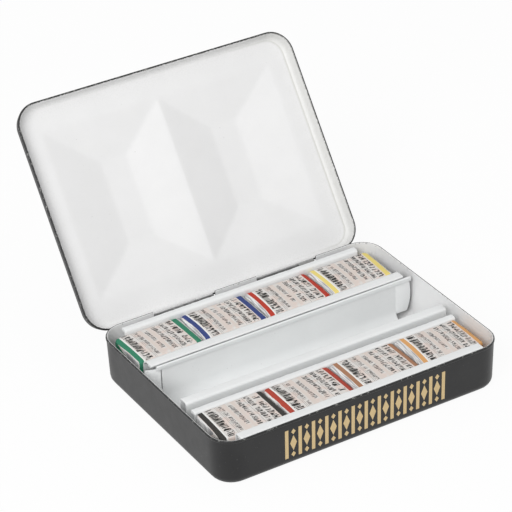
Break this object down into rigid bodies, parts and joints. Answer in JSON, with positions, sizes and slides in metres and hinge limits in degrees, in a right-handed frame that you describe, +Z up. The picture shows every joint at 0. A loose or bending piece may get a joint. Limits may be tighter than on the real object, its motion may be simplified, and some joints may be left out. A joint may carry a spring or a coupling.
{
  "type": "watercolor paint box",
  "caption": "Hinged enamelled tin for watercolours: lid pressed into mixing wells, lift-out insert with pan holders round a brush channel, wrapped full pans.",
  "frame": {"origin": "middle of the tin's flat underside", "axes": "+X to the right along the hinge line, +Y back towards the hinges, +Z up"},
  "size_m": [0.13, 0.1629, 0.0942],
  "materials": {
    "black_enamel": "satin stoving enamel",
    "white_enamel": "smooth white enamel",
    "hinge_steel": "drawn wire",
    "gold_print": "matt gold print",
    "wrapper_paper": "thin printed paper",
    "tub_plastic": "moulded white plastic",
    "paint_green": "dried watercolour",
    "paint_blue": "dried watercolour",
    "paint_red": "dried watercolour",
    "paint_yellow": "dried watercolour",
    "paint_grey": "dried watercolour",
    "paint_brick": "dried watercolour",
    "paint_brown": "dried watercolour",
    "paint_ochre": "dried watercolour"
  },
  "bodies": {
    "base": {"base_tin": "black_enamel", "hinge_pin_left": "hinge_steel", "hinge_pin_right": "hinge_steel"},
    "lid": {"lid_shell": "black_enamel"},
    "insert": {"pan_holder_back": "white_enamel", "pan_holder_front": "white_enamel", "brush_channel": "white_enamel"},
    "pan_1": {"wrapper_1": "wrapper_paper", "pan_tub_1": "tub_plastic", "paint_cake_1": "paint_green"},
    "pan_2": {"wrapper_2": "wrapper_paper", "pan_tub_2": "tub_plastic", "paint_cake_2": "paint_blue"},
    "pan_3": {"wrapper_3": "wrapper_paper", "pan_tub_3": "tub_plastic", "paint_cake_3": "paint_red"},
    "pan_4": {"wrapper_4": "wrapper_paper", "pan_tub_4": "tub_plastic", "paint_cake_4": "paint_yellow"},
    "pan_5": {"wrapper_5": "wrapper_paper", "pan_tub_5": "tub_plastic", "paint_cake_5": "paint_grey"},
    "pan_6": {"wrapper_6": "wrapper_paper", "pan_tub_6": "tub_plastic", "paint_cake_6": "paint_brick"},
    "pan_7": {"wrapper_7": "wrapper_paper", "pan_tub_7": "tub_plastic", "paint_cake_7": "paint_brown"},
    "pan_8": {"wrapper_8": "wrapper_paper", "pan_tub_8": "tub_plastic", "paint_cake_8": "paint_ochre"}
  },
  "joints": [
    {"name": "lid_hinge", "type": "hinge", "parent": "base", "child": "lid", "pos_m": [0, 0.04975, 0.0173], "axis": [-1, 0, 0], "range_deg": [-126.2, 0]},
    {"name": "insert_lift", "type": "slide", "parent": "base", "child": "insert", "axis": [0, 0, 1], "range_m": [0, 0.0245]},
    {"name": "pan_lift_1", "type": "slide", "parent": "insert", "child": "pan_1", "axis": [0, 0, 1], "range_m": [0, 0.0135]},
    {"name": "pan_lift_2", "type": "slide", "parent": "insert", "child": "pan_2", "axis": [0, 0, 1], "range_m": [0, 0.0135]},
    {"name": "pan_lift_3", "type": "slide", "parent": "insert", "child": "pan_3", "axis": [0, 0, 1], "range_m": [0, 0.0135]},
    {"name": "pan_lift_4", "type": "slide", "parent": "insert", "child": "pan_4", "axis": [0, 0, 1], "range_m": [0, 0.0135]},
    {"name": "pan_lift_5", "type": "slide", "parent": "insert", "child": "pan_5", "axis": [0, 0, 1], "range_m": [0, 0.0135]},
    {"name": "pan_lift_6", "type": "slide", "parent": "insert", "child": "pan_6", "axis": [0, 0, 1], "range_m": [0, 0.0135]},
    {"name": "pan_lift_7", "type": "slide", "parent": "insert", "child": "pan_7", "axis": [0, 0, 1], "range_m": [0, 0.0135]},
    {"name": "pan_lift_8", "type": "slide", "parent": "insert", "child": "pan_8", "axis": [0, 0, 1], "range_m": [0, 0.0135]}
  ]
}
